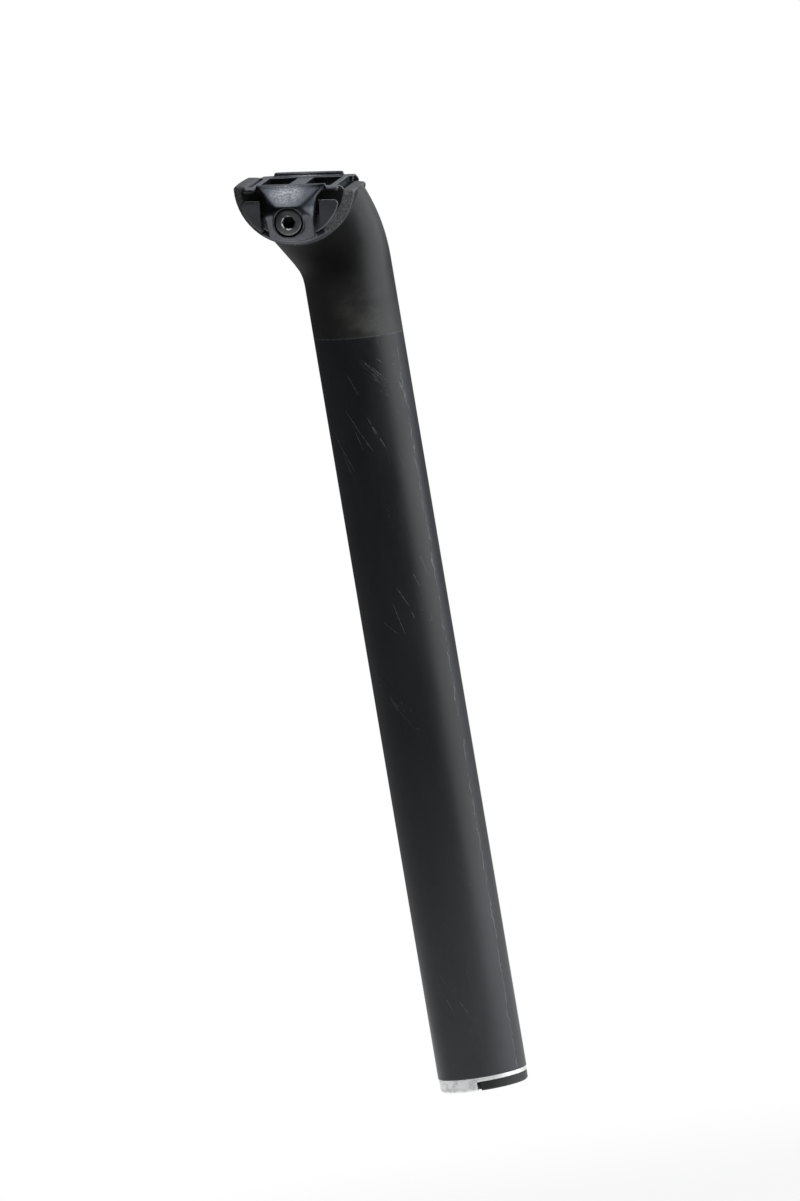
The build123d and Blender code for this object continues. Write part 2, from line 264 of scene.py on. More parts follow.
class Stroke(Effect):
    """One scratch: 1 within its width of the line from start to end on a sheet, with worn ends."""

    NAME = "scratch_stroke"
    INPUTS = {"Sheet": "Vector", "Start": "Vector", "End": "Vector", "Width": "Float"}

    def wire(self, bench: Bench, inputs: Outputs) -> Wires:
        """Measures the distance to the line and fades it towards both ends."""
        run = bench.vector("SUBTRACT", inputs["End"], inputs["Start"])[0]
        away = bench.vector("SUBTRACT", inputs["Sheet"], inputs["Start"])[0]
        ahead, whole = (bench.vector("DOT_PRODUCT", part, run)["Value"] for part in (away, run))
        share = bench.sum(Step.OVER, ahead, whole, clamp=True)
        gap = bench.vector("DISTANCE", away, bench.vector("SCALE", run, Scale=share)[0])["Value"]
        taper = bench.times(share, bench.less(1.0, share))
        width = bench.times(inputs["Width"], bench.ramp(taper, 0.0, 0.2, 0.35, 1.0))
        return {"Mask": bench.ramp(bench.sum(Step.OVER, gap, width), 0.4, 1.0, 1.0, 0.0)}


class FineScratches(Effect):
    """A field of fine scratches: thin contour lines of a noise that is drawn out along one direction."""

    NAME = "fine_scratches"
    INPUTS = {"Sheet": "Vector", "Lines": "Float", "Width": "Float", "Cover": "Float"}

    def wire(self, bench: Bench, inputs: Outputs) -> Wires:
        """Keeps the noise's middle contour, only where a broader noise allows it."""
        lumps = bench.noise(inputs["Sheet"], inputs["Lines"], 1.0, distortion=0.35)
        off = bench.sum(Step.SIZE, bench.less(lumps, 0.5))
        line = bench.less(1.0, bench.sum(Step.OVER, off, inputs["Width"]), clamp=True)
        here = bench.less(bench.noise(inputs["Sheet"], 70.0), bench.less(1.0, inputs["Cover"]))
        return {"Mask": bench.times(line, bench.ramp(here, 0.0, 0.12))}


class Grain(Effect):
    """A blasted or moulded grain: fine lumps with a few deeper pits, and slow changes of tone."""

    NAME = "surface_grain"
    INPUTS = {"Point": "Vector", "Lumps": "Float"}
    OUTPUTS = {"Height": "Float", "Tone": "Float"}

    def wire(self, bench: Bench, inputs: Outputs) -> Wires:
        """Adds a fine noise to the cells of a Voronoi pattern."""
        fine = bench.noise(inputs["Point"], inputs["Lumps"], 3.0, 0.62)
        cells = bench.add("TexVoronoi", Vector=inputs["Point"], Scale=inputs["Lumps"])
        pits = bench.ramp(cells["Distance"], 0.0, 0.7, 0.0, 0.5)
        return {"Height": bench.plus(fine, pits), "Tone": bench.noise(inputs["Point"], 160.0, 3.0, 0.55)}


class Hollow(Effect):
    """Painted shade for a hollow: 1 within reach of a line, fading out over a short way."""

    NAME = "dirty_hollow"
    INPUTS = {"Point": "Vector", "Start": "Vector", "Along": "Vector", "Reach": "Float"}

    def wire(self, bench: Bench, inputs: Outputs) -> Wires:
        """Takes the length of the cross product with the line's unit direction as the distance."""
        away = bench.vector("SUBTRACT", inputs["Point"], inputs["Start"])[0]
        gap = bench.vector("LENGTH", bench.vector("CROSS_PRODUCT", away, inputs["Along"])[0])["Value"]
        return {"Mask": bench.ramp(bench.sum(Step.OVER, gap, inputs["Reach"]), 0.85, 1.0, 1.0, 0.0)}


class EdgeWear(Effect):
    """Worn edges: 1 where a rounded normal leaves the true one, broken up by noise."""

    NAME = "edge_wear"
    INPUTS = {"Point": "Vector", "Reach": "Float", "Break": "Float"}

    def wire(self, bench: Bench, inputs: Outputs) -> Wires:
        """Compares the two normals and wears the result with noise."""
        true = bench.add("NewGeometry")["Normal"]
        alike = bench.vector("DOT_PRODUCT", bench.soft(inputs["Reach"], 6), true)["Value"]
        rub_and_highlight = bench.times(bench.noise(inputs["Point"], 900.0, 3.0, 0.6), inputs["Break"])
        return {"Mask": bench.less(bench.ramp(alike, 0.78, 0.985, 1.0, 0.0), rub_and_highlight, clamp=True)}


class Finish:
    """Base of the finishes: makes one Principled material and hands its parts to dress()."""

    NAME = ""

    def material(self) -> bpy.types.Material:
        """Builds the material on first use.

        Returns:
            The finished material.
        """
        known = bpy.data.materials.get(self.NAME)
        if known:
            return known
        made = bpy.data.materials.new(self.NAME)
        made.use_nodes = True
        shader = made.node_tree.nodes["Principled BSDF"]
        bench = Bench(made.node_tree)
        self.dress(bench, shader, bench.add("TexCoord")["Object"])
        return made

    def dress(self, bench: Bench, shader: Node, point: Socket) -> None:
        """Wires the finish to the shader.

        Args:
            bench: Adds the material's nodes.
            shader: Its Principled BSDF.
            point: Object coordinates.
        """
        raise NotImplementedError


@dataclass(frozen=True)
class CoatedLaminate(Finish):
    """Satin black coat over carbon laminate: smooth above the frame line, rubbed and scratched below it.

    A field of scratches has its turn in degrees, squeeze, lines per metre, width, cover and strength. A stroke has
    x and z of its two ends, as the camera sees them, and its width, in mm. Across is the angle about Z times the
    radius, and with z it makes the unrolled sheet on which the scratches lie.
    """

    NAME = "satin_coated_carbon"
    radius: float
    pivot: Vector
    cup_reach: float = 21.5 * MM
    cup_soft: float = 0.05 * MM
    line_height: float = 265.2 * MM
    line_slope: float = -0.073
    line_soft: float = 0.12 * MM
    line_wobble: float = 0.25 * MM
    crease_angle: float = -27.5
    crease_sway: float = 5.5 * MM
    crease_shake: float = 2.6 * MM
    crease_edge: Pair = (0.04 * MM, 0.40 * MM)
    peel_soft: float = 0.3 * MM
    smear_rise: Pair = (2.0 * MM, 26.0 * MM)
    smear_left: float = -118.0
    smear_right: float = -64.0
    smear_fade: float = 8.0 * MM
    light_from_below_height: float = 130.0 * MM
    relief: float = 0.05 * MM
    line_highlight_reach: Pair = (0.08 * MM, 0.32 * MM)
    rim_round: float = 0.5 * MM
    smooth: Colour = (0.0066, 0.0062, 0.0058)
    rubbed: Colour = (0.0018, 0.0026, 0.0046)
    light_from_below: Colour = (0.052, 0.055, 0.061)
    haze: Colour = (0.014, 0.017, 0.0215)
    collar_dirt: Colour = (0.086, 0.083, 0.078)
    bare: Colour = (0.30, 0.31, 0.33)
    blasted: Colour = (0.036, 0.038, 0.041)
    chalky: Colour = (0.22, 0.222, 0.226)
    fields: Rows = (
        (26.0, 0.15, 400.0, 0.013, 0.42, 0.20),
        (14.0, 0.11, 560.0, 0.012, 0.40, 0.13),
    )
    strokes: Rows = (
        (-0.4, 257.3, 6.9, 247.5, 0.17),
        (1.6, 255.6, 7.4, 248.3, 0.11),
        (4.6, 257.1, 6.4, 255.3, 0.12),
        (-6.5, 253.3, -3.5, 245.3, 0.12),
        (-9.0, 240.6, -1.4, 224.3, 0.14),
        (-7.4, 234.7, -5.0, 225.9, 0.10),
        (-2.3, 238.0, 3.3, 224.5, 0.14),
        (-1.0, 235.1, 0.2, 230.3, 0.10),
        (-14.0, 232.9, -9.1, 218.4, 0.13),
        (-12.4, 225.7, -9.8, 215.3, 0.10),
        (5.2, 179.7, 6.6, 175.1, 0.13),
        (-3.9, 171.1, -1.2, 159.2, 0.12),
        (-1.6, 176.1, 2.0, 168.5, 0.12),
        (2.0, 167.7, 3.0, 164.3, 0.12),
        (-8.0, 164.7, -3.9, 159.7, 0.10),
        (-9.0, 30.7, -6.6, 24.7, 0.11),
        (-4.0, 27.7, -1.4, 23.2, 0.11),
        (11.5, 247.1, 13.0, 240.3, 0.55),
        (12.3, 241.7, 13.2, 237.1, 0.35),
    )

    def on_sheet(self, x: float, z: float) -> Colour:
        """Unrolls a point that the camera sees, x mm to the right of the tube's axis and z mm up, to metres."""
        turn = math.radians(CAMERA_AZIMUTH - 90.0) + math.asin(x * MM / self.radius)
        return (turn * self.radius, z * MM, 0.0)

    def scratches(self, bench: Bench, sheet: Socket, skips: Socket) -> Socket:
        """Draws the fields of fine scratches and the single strokes.

        Args:
            bench: Adds the material's nodes.
            sheet: The point on the unrolled tube.
            skips: What is left of a stroke at each place.

        Returns:
            The scratches' mask.
        """
        scratch: Value = 0.0
        for turn, squeeze, lines, width, cover, strength in self.fields:
            drawn = bench.stretch(sheet, (1.0, squeeze, 1.0), (0.0, 0.0, turn))
            mask = bench.place(FineScratches, Sheet=drawn, Lines=lines, Width=width, Cover=cover)["Mask"]
            scratch = bench.most(scratch, bench.times(mask, strength))
        for x0, z0, x1, z1, width in self.strokes:
            ends = {"Start": self.on_sheet(x0, z0), "End": self.on_sheet(x1, z1)}
            mask = bench.place(Stroke, Sheet=sheet, Width=width * MM, **ends)["Mask"]
            scratch = bench.most(scratch, bench.times(mask, skips))
        return scratch

    def dress(self, bench: Bench, shader: Node, point: Socket) -> None:
        """Lays the coat, its line of wear, the crease on the front, the scratches and the bare cup, with painted light
        from below near the lower end and a painted highlight along the line.
        """
        x, y, z = bench.axes(point)
        across = bench.times(bench.sum(Step.ANGLE, y, x), self.radius)
        sheet = bench.point(across, z, 0.0)
        line = bench.plus(bench.times(x, self.line_slope), self.line_height)
        over = bench.less(z, bench.plus(line, bench.times(bench.noise(point, 400.0), self.line_wobble)))
        below = bench.ramp(over, -self.line_soft, self.line_soft, 1.0, 0.0)
        slow = bench.noise(bench.stretch(point, (1.0, 1.0, 0.35)), 60.0, 4.0, 0.6)
        fine = bench.noise(bench.stretch(sheet, (1.0, 0.06, 1.0)), 2600.0)
        skips = bench.ramp(bench.noise(point, 700.0, 3.0, 0.6), 0.36, 0.56, 0.08, 0.6)
        scratch = bench.times(self.scratches(bench, sheet, skips), below)

        slow_bend = bench.less(bench.noise(bench.point(0.0, 0.0, z), 70.0, 3.0, 0.6), 0.5)
        fast_bend = bench.less(bench.noise(point, 420.0, 3.0, 0.6), 0.5)
        bend = bench.plus(bench.times(slow_bend, self.crease_sway), bench.times(fast_bend, self.crease_shake))
        aside = bench.less(across, bench.plus(math.radians(self.crease_angle) * self.radius, bend))
        crease = bench.times(bench.ramp(bench.sum(Step.SIZE, aside), *self.crease_edge, 1.0, 0.0), below)
        peeled = bench.times(bench.ramp(aside, -self.peel_soft, self.peel_soft), below)

        smear = bench.noise(bench.stretch(sheet, (0.6, 1.0, 1.0)), 110.0, 5.0, 0.65)
        smear = bench.ramp(smear, 0.34, 0.62, 0.25, 1.0)
        smear = bench.times(smear, bench.ramp(over, *self.smear_rise, 1.0, 0.0))
        for angle, before, after in ((self.smear_left, 0.0, 1.0), (self.smear_right, 1.0, 0.25)):
            side = math.radians(angle) * self.radius
            smear = bench.times(smear, bench.ramp(across, side, side + self.smear_fade, before, after))
        smear = bench.times(smear, bench.less(1.0, below))
        # Painted highlight: a thin pale line along both sides of the finish line, broken up by the same noise as the
        # strokes.
        line_highlight = bench.times(bench.ramp(bench.sum(Step.SIZE, over), *self.line_highlight_reach, 0.3, 0.0), skips)

        reach = bench.length(bench.less(x, self.pivot.x), bench.less(z, self.pivot.z))
        cup = bench.ramp(reach, self.cup_reach - self.cup_soft, self.cup_reach + self.cup_soft, 1.0, 0.0)

        broken = bench.ramp(bench.noise(point, 160.0, 3.0, 0.65), 0.38, 0.62, 0.06, 0.5)
        # Painted light from below: the coat under the line is paler towards the lower end and fades out over its given
        # height.
        rubbed = bench.tint(bench.ramp(z, 0.0, self.light_from_below_height, 1.0, 0.0), self.rubbed, self.light_from_below)
        rubbed = bench.tint(bench.ramp(slow, 0.35, 0.75, 0.0, 0.35), rubbed, self.haze)
        rubbed = bench.tint(scratch, rubbed, self.bare)
        rubbed = bench.tint(bench.times(crease, broken), rubbed, self.bare)
        rubbed = bench.tint(bench.times(peeled, 0.5), rubbed, self.haze)
        coat = bench.tint(below, bench.tint(smear, self.smooth, self.collar_dirt), rubbed)
        coat = bench.tint(line_highlight, coat, self.bare)
        speck = bench.ramp(bench.noise(point, 1300.0, 4.0, 0.75), 0.38, 0.70, 0.05, 0.75)
        dull = bench.plus(bench.ramp(slow, 0.3, 0.7, 0.40, 0.50), bench.times(below, -0.03))

        height = bench.times(fine, 0.10)
        for mark, depth in ((scratch, 0.5), (crease, 0.8), (peeled, 0.7), (below, 0.6)):
            height = bench.less(height, bench.times(mark, depth))
        grain = bench.place(Grain, Point=point, Lumps=2600.0)
        height = bench.blend(cup, height, bench.times(grain["Height"], 1.6))
        bench.fill(
            shader,
            Base_Color=bench.tint(cup, coat, bench.tint(speck, self.blasted, self.chalky)),
            Roughness=bench.blend(cup, dull, 0.62),
            Normal=bench.bump(height, self.relief, bench.soft(self.rim_round)),
        )


def rail_seats() -> list[dict]:
    """Gives the mounts that take the saddle's rails."""
    return [mount for mount in frame["record"]["mounts"] if mount["kind"] == "clamp"]


@dataclass(frozen=True)
class BlastedAnodise(Finish):
    """Dark anodised aluminium over a blasted grain, bright along its worn edges, with painted light below its top, a
    painted highlight on its upper facet and painted shade blackening its rail seats.
    """

    NAME = "blasted_dark_anodise"
    coarse_from: float
    # Centre and spread of the painted highlight on the plates' upper facet.
    highlight_x: float
    highlight_z: float
    highlight_half: float = 6.5 * MM
    highlight_tall: float = 4.0 * MM
    highlight_least: float = 0.12
    rail_reach: float = 6.0 * MM
    seat_rise: float = 3.3 * MM
    seat_side: float = 22.5 * MM
    forged_round: float = 0.7 * MM
    edge_reach: float = 0.4 * MM
    coarse_fade: float = 3.0 * MM
    speckle: float = 0.62
    worn: float = 1.0
    side_light_tone: float = 0.12
    side_light_top: float = 0.0
    side_fade: float = 2.0 * MM
    relief: float = 0.04 * MM
    sheen: Pair = (0.29, 0.38)
    dye: Colour = (0.036, 0.040, 0.048)
    thin: Colour = (0.215, 0.224, 0.240)
    bare: Colour = (0.70, 0.71, 0.72)
    recess_shade: Colour = (0.006, 0.006, 0.006)

    def dress(self, bench: Bench, shader: Node, point: Socket) -> None:
        """Mixes the dye by the grain and the slow tone, paints light below the top and a highlight on the upper facet,
        wears the edges and paints the rail seats black with shade.
        """
        grain = bench.place(Grain, Point=point, Lumps=4600.0)
        wear = bench.place(EdgeWear, Point=point, Reach=self.edge_reach, Break=0.7)["Mask"]
        x, y, z = bench.axes(point)
        start = self.coarse_from
        coarse = bench.ramp(z, start, start + self.coarse_fade, 0.25 * self.speckle, self.speckle)
        speck = bench.times(bench.ramp(bench.noise(point, 1500.0, 3.0, 0.7), 0.36, 0.66), coarse)
        tone = bench.plus(speck, bench.ramp(grain["Tone"], 0.35, 0.7, 0.08, 0.3))
        # Painted light and shade: below the top the tone is raised, so the sides come out paler and the top darker.
        top = start + self.side_light_top
        tone = bench.plus(tone, bench.ramp(z, top, top + self.side_fade, self.side_light_tone, 0.0))
        # Painted highlight: the tone is kept round a point above the screw and falls off towards the upper facet's
        # edges, which read as painted shade; below the top it is not applied.
        wide = bench.times(bench.less(x, self.highlight_x), 1.0 / self.highlight_half)
        tall = bench.times(bench.less(z, self.highlight_z), 1.0 / self.highlight_tall)
        rub_and_highlight = bench.ramp(bench.length(wide, tall), 0.25, 1.25, 1.0, self.highlight_least)
        rub_and_highlight = bench.most(rub_and_highlight, bench.ramp(z, start, start + self.side_fade, 1.0, 0.0))
        colour = bench.tint(bench.times(tone, rub_and_highlight), self.dye, self.thin)
        colour = bench.tint(bench.times(wear, self.worn), colour, self.bare)
        # Painted shade: the rail seats, up to a height above each rail and within a side reach, go black, matt and
        # non-metallic.
        seat_shade: Value = 0.0
        for mount in rail_seats():
            spot, along = mount["pos_m"], mount["axis"]
            seat = bench.place(Hollow, Point=point, Start=spot, Along=along, Reach=self.rail_reach)["Mask"]
            lean = bench.times(bench.less(x, spot[0]), along[2] / along[0])
            above = bench.less(bench.less(z, spot[2]), lean)
            seat_shade = bench.most(seat_shade, bench.times(seat, bench.sum(Step.BELOW, above, self.seat_rise)))
        seat_shade = bench.times(seat_shade, bench.sum(Step.BELOW, bench.sum(Step.SIZE, y), self.seat_side))
        bench.fill(
            shader,
            Base_Color=bench.tint(seat_shade, colour, self.recess_shade),
            Roughness=bench.blend(seat_shade, bench.ramp(grain["Tone"], 0.3, 0.7, *self.sheen), 0.8),
            Metallic=bench.less(1.0, seat_shade),
            Normal=bench.bump(grain["Height"], self.relief, bench.soft(self.forged_round)),
        )


@dataclass(frozen=True)
class SatinAnodise(BlastedAnodise):
    """The same anodise over a machined face: smoother, with painted shade darkening its top and painted light making
    its sides paler.
    """

    NAME = "satin_dark_anodise"
    # The painted shade in the rail seats reaches wider on the cradle.
    rail_reach: float = 7.2 * MM
    seat_side: float = 25.0 * MM
    forged_round: float = 0.35 * MM
    # No painted highlight on the cradle.
    highlight_least: float = 1.0
    speckle: float = 0.10
    worn: float = 0.3
    # Strong painted light on the cradle's sides, leaving its top in painted shade.
    side_light_tone: float = 0.85
    side_light_top: float = 4.0 * MM
    relief: float = 0.012 * MM
    sheen: Pair = (0.32, 0.38)
    dye: Colour = (0.036, 0.041, 0.049)
    thin: Colour = (0.230, 0.242, 0.262)


@dataclass(frozen=True)
class TurnedAluminium(Finish):
    """Bare aluminium with fine turning marks, scuffed and dulled."""

    NAME = "turned_bare_aluminium"
    relief: float = 0.015 * MM
    bright: Colour = (0.85, 0.855, 0.86)
    dull: Colour = (0.55, 0.555, 0.56)

    def dress(self, bench: Bench, shader: Node, point: Socket) -> None:
        """Runs the turning marks round Z and scuffs them."""
        marks = bench.noise(bench.point(0.0, 0.0, bench.axes(point)[2]), 5200.0)
        scuff = bench.noise(point, 420.0, 4.0, 0.65)
        fine = bench.noise(point, 2600.0, 3.0, 0.6)
        mask = bench.times(bench.ramp(scuff, 0.42, 0.62), bench.ramp(fine, 0.3, 0.7))
        bench.fill(
            shader,
            Base_Color=bench.tint(mask, self.bright, self.dull),
            Roughness=bench.blend(mask, 0.34, 0.55),
            Metallic=1.0,
            Normal=bench.bump(bench.plus(marks, bench.times(mask, -0.7)), self.relief),
        )


@dataclass(frozen=True)
class MouldedNylon(Finish):
    """Black moulded nylon with a fine spark-eroded grain and some dust."""

    NAME = "moulded_black_nylon"
    relief: float = 0.02 * MM
    black: Colour = (0.013, 0.013, 0.014)
    dust: Colour = (0.075, 0.073, 0.07)

    def dress(self, bench: Bench, shader: Node, point: Socket) -> None:
        """Grains the surface and lets some dust lie on it."""
        grain = bench.place(Grain, Point=point, Lumps=3000.0)
        bench.fill(
            shader,
            Base_Color=bench.tint(bench.ramp(grain["Tone"], 0.5, 0.75, 0.0, 0.5), self.black, self.dust),
            Roughness=bench.ramp(grain["Tone"], 0.3, 0.7, 0.42, 0.6),
            Normal=bench.bump(grain["Height"], self.relief),
        )


@dataclass(frozen=True)
class BlackOxideSteel(Finish):
    """Black oxide on steel, worn to grey where a key or a hand rubs it."""

    NAME = "black_oxide_steel"
    axis_point: Vector
    key_reach: float = 2.36 * MM
    rim_reach: float = 2.66 * MM
    edge_reach: float = 0.25 * MM
    relief: float = 0.008 * MM
    oxide: Colour = (0.30, 0.306, 0.318)
    steel: Colour = (0.60, 0.60, 0.59)
    recess_shade: Colour = (0.008, 0.008, 0.008)

    def dress(self, bench: Bench, shader: Node, point: Socket) -> None:
        """Wears the edges, mottles the oxide, polishes the socket's rim and paints the inside of the socket black with
        shade.
        """
        grain = bench.place(Grain, Point=point, Lumps=3800.0)
        wear = bench.place(EdgeWear, Point=point, Reach=self.edge_reach, Break=0.7)["Mask"]
        hollow = {"Point": point, "Start": self.axis_point, "Along": (0.0, 1.0, 0.0)}
        # Painted shade: inside the hex socket the colour goes black.
        inside, rim = (
            bench.place(Hollow, **hollow, Reach=reach)["Mask"] for reach in (self.key_reach, self.rim_reach)
        )
        rim = bench.times(rim, bench.ramp(bench.noise(point, 600.0), 0.35, 0.6, 0.1, 0.8))
        colour = bench.tint(bench.ramp(grain["Tone"], 0.4, 0.7, 0.0, 0.12), self.oxide, self.steel)
        colour = bench.tint(bench.most(wear, rim), colour, self.steel)
        bench.fill(
            shader,
            Base_Color=bench.tint(inside, colour, self.recess_shade),
            Roughness=bench.ramp(grain["Tone"], 0.3, 0.7, 0.30, 0.42),
            Metallic=1.0,
            Normal=bench.bump(grain["Height"], self.relief),
        )


@dataclass(frozen=True)
class PalePaper(Finish):
    """Pale paper that keeps a soft shadow round the object and is plain white further off."""

    NAME = "pale_paper"
    pale: Colour = (0.79, 0.79, 0.79)
    paler: Colour = (0.83, 0.83, 0.83)

    def dress(self, bench: Bench, shader: Node, point: Socket) -> None:
        """Gives the camera white light with the distance from the middle, and gloss less of it."""
        off = bench.length(*bench.axes(point)[:2])
        path = bench.add("LightPath")
        plain = bench.most(path["Is Camera Ray"], path["Is Transmission Ray"])
        plain = bench.times(plain, bench.ramp(off, 0.5, 0.8, 0.88, 1.0))
        gloss = bench.times(path["Is Glossy Ray"], bench.ramp(off, 0.2, 0.7, 0.6, 0.0))
        fibre = bench.noise(point, 300.0, 3.0)
        bench.fill(shader, Base_Color=bench.tint(fibre, self.pale, self.paler), Roughness=0.9)
        bench.glow(bench.most(plain, gloss), shader.outputs[0])


@dataclass(frozen=True)
class WhiteCard(Finish):
    """A white card that shines in its middle and is clear at its edge."""

    NAME = "white_card"
    reach: float

    def dress(self, bench: Bench, shader: Node, point: Socket) -> None:
        """Fades the light with the distance from the middle."""
        off = bench.length(*bench.axes(point)[:2])
        clear = bench.add("BsdfTransparent")[0]
        bench.glow(bench.ramp(off, 0.15 * self.reach, self.reach, 0.95, 0.0), clear)


def shown(name: str, data: bpy.types.ID) -> bpy.types.Object:
    """Makes an object and links it to the scene.

    Args:
        name: The object's name.
        data: Its mesh, camera or light.

    Returns:
        The object, at the origin.
    """
    made = bpy.data.objects.new(name, data)
    bpy.context.scene.collection.objects.link(made)
    return made


def stand_for(node: str, data: Mesh, finish: Finish) -> bpy.types.Object:
    """Puts a better mesh in a CAD node's place.

    Args:
        node: The node's name.
        data: The mesh, in the frame's own coordinates.
        finish: The finish for all of it.

    Returns:
        The new piece, which rides on the node's body.
    """
    record = frame["record"]
    body = next(name for name, nodes in record["behaviour"]["bodies"].items() if node in nodes)
    piece = shown(data.name, data)
    data.materials.append(finish.material())
    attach(piece, body)
    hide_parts(node)
    log.info("%s: %d faces, %s", piece.name, len(data.polygons), finish.NAME)
    return piece


def merged(node: str, name: str) -> Mesh:
    """Copies a CAD node's loose triangles into one closed mesh with flat faces joined up.

    Args:
        node: The node's name.
        name: The copy's name.

    Returns:
        The copy.
    """
    source = bpy.data.objects[node].data
    points = np.empty(3 * len(source.vertices), dtype=np.float32)
    source.vertices.foreach_get("co", points)
    corners = np.empty(len(source.loops), dtype=np.int32)
    source.loops.foreach_get("vertex_index", corners)
    points, back = np.unique(points.reshape(-1, 3), axis=0, return_inverse=True)
    data = bpy.data.meshes.new(name)
    data.from_pydata(points.tolist(), [], back.reshape(-1)[corners].reshape(-1, 3).tolist())
    work = bmesh.new()
    work.from_mesh(data)
    bmesh.ops.remove_doubles(work, verts=work.verts, dist=2e-6)
    bmesh.ops.dissolve_limit(work, angle_limit=math.radians(1.0), verts=work.verts, edges=work.edges)
    work.to_mesh(data)
    work.free()
    return data


def forged(node: str, finish: Finish, voxel: float, passes: int, ease: Shape, crown: Shape) -> None:
    """Stands a softened copy for a CAD node, as a forging comes out of its die.

    The copy is cut into even quads, each pass moves every point by its ease towards the mean of its neighbours, and
    crown gives what is added to the points at the end.

    Args:
        node: The node's name.
        finish: The finish for all of it.
        voxel: The quads' size in metres.
        passes: How often the points are evened out.
        ease: Gives the share of the way that each of an array of points moves.
        crown: Gives the shifts of an array of points.
    """
    rough = shown(node + "_rough", merged(node, node + "_rough"))
    remesh = rough.modifiers.new("even_quads", "REMESH")
    remesh.mode = "VOXEL"
    remesh.voxel_size = voxel
    data = bpy.data.meshes.new_from_object(rough.evaluated_get(bpy.context.evaluated_depsgraph_get()))
    data.name = node + "_forged"
    bpy.data.objects.remove(rough)
    points = np.empty(3 * len(data.vertices), dtype=np.float32)
    data.vertices.foreach_get("co", points)
    points = points.reshape(-1, 3).astype(float)
    ends = np.empty(2 * len(data.edges), dtype=np.int32)
    data.edges.foreach_get("vertices", ends)
    ends = ends.reshape(-1, 2)
    here, there = np.concatenate((ends, ends[:, ::-1])).T
    count = np.bincount(here, minlength=len(points))
    share = ease(points)[:, None]
    for _ in range(passes):
        mean = np.stack([np.bincount(here, points[there, axis], len(points)) / count for axis in range(3)], axis=-1)
        points += share * (mean - points)
    points += crown(points)
    data.vertices.foreach_set("co", points.astype(np.float32).ravel())
    data.materials.clear()
    data.shade_smooth()
    stand_for(node, data, finish)


def rounded(node: str, finish: Finish, radius: float, least: float = 25.0) -> None:
    """Stands a merged copy for a CAD node, with its sharp edges rounded by a bevel.

    Args:
        node: The node's name.
        finish: The finish for all of it.
        radius: The bevel's width in metres.
        least: The smallest angle in degrees that counts as an edge.
    """
    data = merged(node, node + "_rounded")
    data.shade_smooth()
    data.set_sharp_from_angle(angle=math.radians(least))
    bevel = stand_for(node, data, finish).modifiers.new("rounded_edges", "BEVEL")
    bevel.width = radius
    bevel.segments = 3
    bevel.limit_method = "ANGLE"
    bevel.angle_limit = math.radians(least)
    bevel.harden_normals = True


def ringed(name: str, rings: Array, sharp: float, looped: bool = False) -> Mesh:
    """Skins a stack of closed rings with quads.

    Args:
        name: The mesh's name.
        rings: Points in an array of rings by columns by three.
        sharp: The angle in degrees above which an edge stays sharp.
        looped: Whether the last ring joins the first; otherwise each end gets a flat face.

    Returns:
        The closed mesh.
    """
    count, columns, _ = rings.shape
    index = np.arange(count * columns).reshape(count, columns)
    after = np.roll(index, -1, axis=0) if looped else index[1:]
    here = index if looped else index[:-1]
    quads = np.stack((here, np.roll(here, -1, axis=1), np.roll(after, -1, axis=1), after), axis=-1).reshape(-1, 4)
    ends = [] if looped else [index[0][::-1].tolist(), index[-1].tolist()]
    data = bpy.data.meshes.new(name)
    data.from_pydata(rings.reshape(-1, 3).tolist(), [], quads.tolist() + ends)
    data.shade_smooth()
    data.set_sharp_from_angle(angle=math.radians(sharp))
    return data


def give(node: str, finish: Finish) -> None:
    """Gives a CAD node its finish.

    Args:
        node: The node's name.
        finish: The finish for all of it.
    """
    data = bpy.data.objects[node].data
    data.materials.clear()
    data.materials.append(finish.material())
    log.info("%s: %s", node, finish.NAME)


def screw_axis() -> tuple[float, float]:
    """Gives x and z of the clamp screw's axis, which is parallel to Y."""
    low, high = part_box("clamp_bolt")
    return (low[0] + high[0]) / 2.0, (low[2] + high[2]) / 2.0


class Post:
    """The moulded tube, neck and cup."""

    def dress(self) -> None:
        """Coats the post, with its radius and the clamp's tilt point from the frame."""
        pivot = Vector(frame["joints"][0]["pos_m"])
        give("post", CoatedLaminate(radius=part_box("post")[1][0], pivot=pivot))


@dataclass
class EndCap:
    """The bonded ring and the plug at the tube's lower end."""

    ring_round: float = 0.18 * MM
    plug_round: float = 0.25 * MM

    def build(self) -> None:
        """Breaks the edges of both and gives them their finishes."""
        rounded("end_ring", TurnedAluminium(), self.ring_round)
        rounded("end_plug", MouldedNylon(), self.plug_round)


